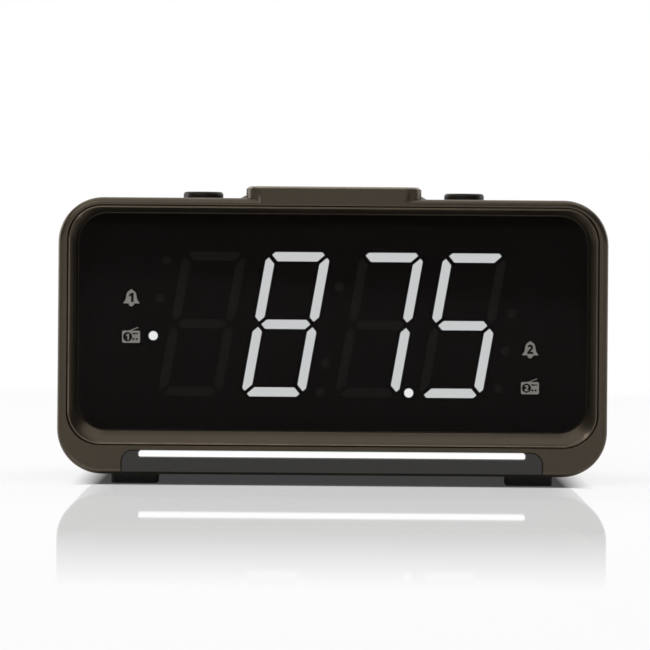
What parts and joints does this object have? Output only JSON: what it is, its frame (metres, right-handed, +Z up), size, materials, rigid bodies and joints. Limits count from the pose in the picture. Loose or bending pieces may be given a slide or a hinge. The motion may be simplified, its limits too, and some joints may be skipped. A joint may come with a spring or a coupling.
{
  "type": "clock radio",
  "caption": "Bedside clock radio with a large segment display behind a smoked window, a night light in the chin, top keys and a rear speaker.",
  "frame": {"origin": "under the middle of the radio's box, on the plane that the four feet stand on", "axes": "+Z up, -Y the way the display faces, +X to the right of someone looking at the display"},
  "size_m": [0.171, 0.066, 0.0929],
  "materials": {
    "bronze_plastic": "dark bronze metallic satin",
    "key_plastic": "bronze metallic satin, a little lighter",
    "button_plastic": "dark gloss",
    "panel_plastic": "graphite satin",
    "smoked_window": "smoked clear, polished",
    "light_guide": "frosted white",
    "black_plastic": "moulded black",
    "circuit_board": "green solder mask",
    "steel": "zinc plated",
    "magnet": "sintered ferrite",
    "cone_paper": "pressed paper",
    "rubber": "matt",
    "cell_sleeve": "printed sleeve, plain",
    "capacitor_sleeve": "shrink sleeve",
    "ribbon": "flat cable"
  },
  "bodies": {
    "chassis": {"antenna_gland": "rubber", "backup_cell_1": "cell_sleeve", "backup_cell_2": "cell_sleeve", "battery_tray": "black_plastic", "contact_bridge": "steel", "contact_negative": "steel", "contact_positive": "steel", "cover_screw_1": "steel", "cover_screw_2": "steel", "cover_screw_3": "steel", "cover_screw_4": "steel", "dc_jack": "black_plastic", "display_board": "circuit_board", "display_diffuser": "light_guide", "display_reflector": "black_plastic", "display_ribbon": "ribbon", "display_screw_1": "steel", "display_screw_2": "steel", "display_screw_3": "steel", "display_screw_4": "steel", "filter_capacitor_1": "capacitor_sleeve", "filter_capacitor_2": "capacitor_sleeve", "foot_1": "rubber", "foot_2": "rubber", "foot_3": "rubber", "foot_4": "rubber", "front_bezel": "bronze_plastic", "function_switch_1": "black_plastic", "function_switch_2": "black_plastic", "function_switch_3": "black_plastic", "function_switch_4": "black_plastic", "function_switch_5": "black_plastic", "housing": "bronze_plastic", "key_island": "bronze_plastic", "main_board": "circuit_board", "nightlight_bar": "light_guide", "nightlight_board": "circuit_board", "nightlight_panel": "panel_plastic", "processor_chip": "black_plastic", "rear_cover": "bronze_plastic", "round_switch_left": "black_plastic", "round_switch_right": "black_plastic", "snooze_switch": "black_plastic", "speaker_cone": "cone_paper", "speaker_frame": "steel", "speaker_gasket": "rubber", "speaker_magnet": "magnet", "switch_board": "circuit_board", "tuner_shield": "steel", "window_lens": "smoked_window"},
    "snooze": {"snooze_key": "key_plastic"},
    "left_button": {"round_button_left": "button_plastic"},
    "right_button": {"round_button_right": "button_plastic"},
    "door": {"battery_door": "bronze_plastic"},
    "key_1": {"function_key_1": "key_plastic"},
    "key_2": {"function_key_2": "key_plastic"},
    "key_3": {"function_key_3": "key_plastic"},
    "key_4": {"function_key_4": "key_plastic"},
    "key_5": {"function_key_5": "key_plastic"}
  },
  "joints": [
    {"name": "snooze_press", "type": "slide", "parent": "chassis", "child": "snooze", "axis": [0, 0, -1], "range_m": [0, 0.00045], "stiffness_N_per_m": 800, "springref_m": -0.0015},
    {"name": "left_button_press", "type": "slide", "parent": "chassis", "child": "left_button", "axis": [0, 0, -1], "range_m": [0, 0.00045], "stiffness_N_per_m": 800, "springref_m": -0.0015},
    {"name": "right_button_press", "type": "slide", "parent": "chassis", "child": "right_button", "axis": [0, 0, -1], "range_m": [0, 0.00045], "stiffness_N_per_m": 800, "springref_m": -0.0015},
    {"name": "key_1_press", "type": "slide", "parent": "chassis", "child": "key_1", "axis": [0, 0, -1], "range_m": [0, 0.00045], "stiffness_N_per_m": 800, "springref_m": -0.0015},
    {"name": "key_2_press", "type": "slide", "parent": "chassis", "child": "key_2", "axis": [0, 0, -1], "range_m": [0, 0.00045], "stiffness_N_per_m": 800, "springref_m": -0.0015},
    {"name": "key_3_press", "type": "slide", "parent": "chassis", "child": "key_3", "axis": [0, 0, -1], "range_m": [0, 0.00045], "stiffness_N_per_m": 800, "springref_m": -0.0015},
    {"name": "key_4_press", "type": "slide", "parent": "chassis", "child": "key_4", "axis": [0, 0, -1], "range_m": [0, 0.00045], "stiffness_N_per_m": 800, "springref_m": -0.0015},
    {"name": "key_5_press", "type": "slide", "parent": "chassis", "child": "key_5", "axis": [0, 0, -1], "range_m": [0, 0.00045], "stiffness_N_per_m": 800, "springref_m": -0.0015},
    {"name": "battery_door_slide", "type": "slide", "parent": "chassis", "child": "door", "axis": [0, 1, 0], "range_m": [0, 0.034]}
  ]
}
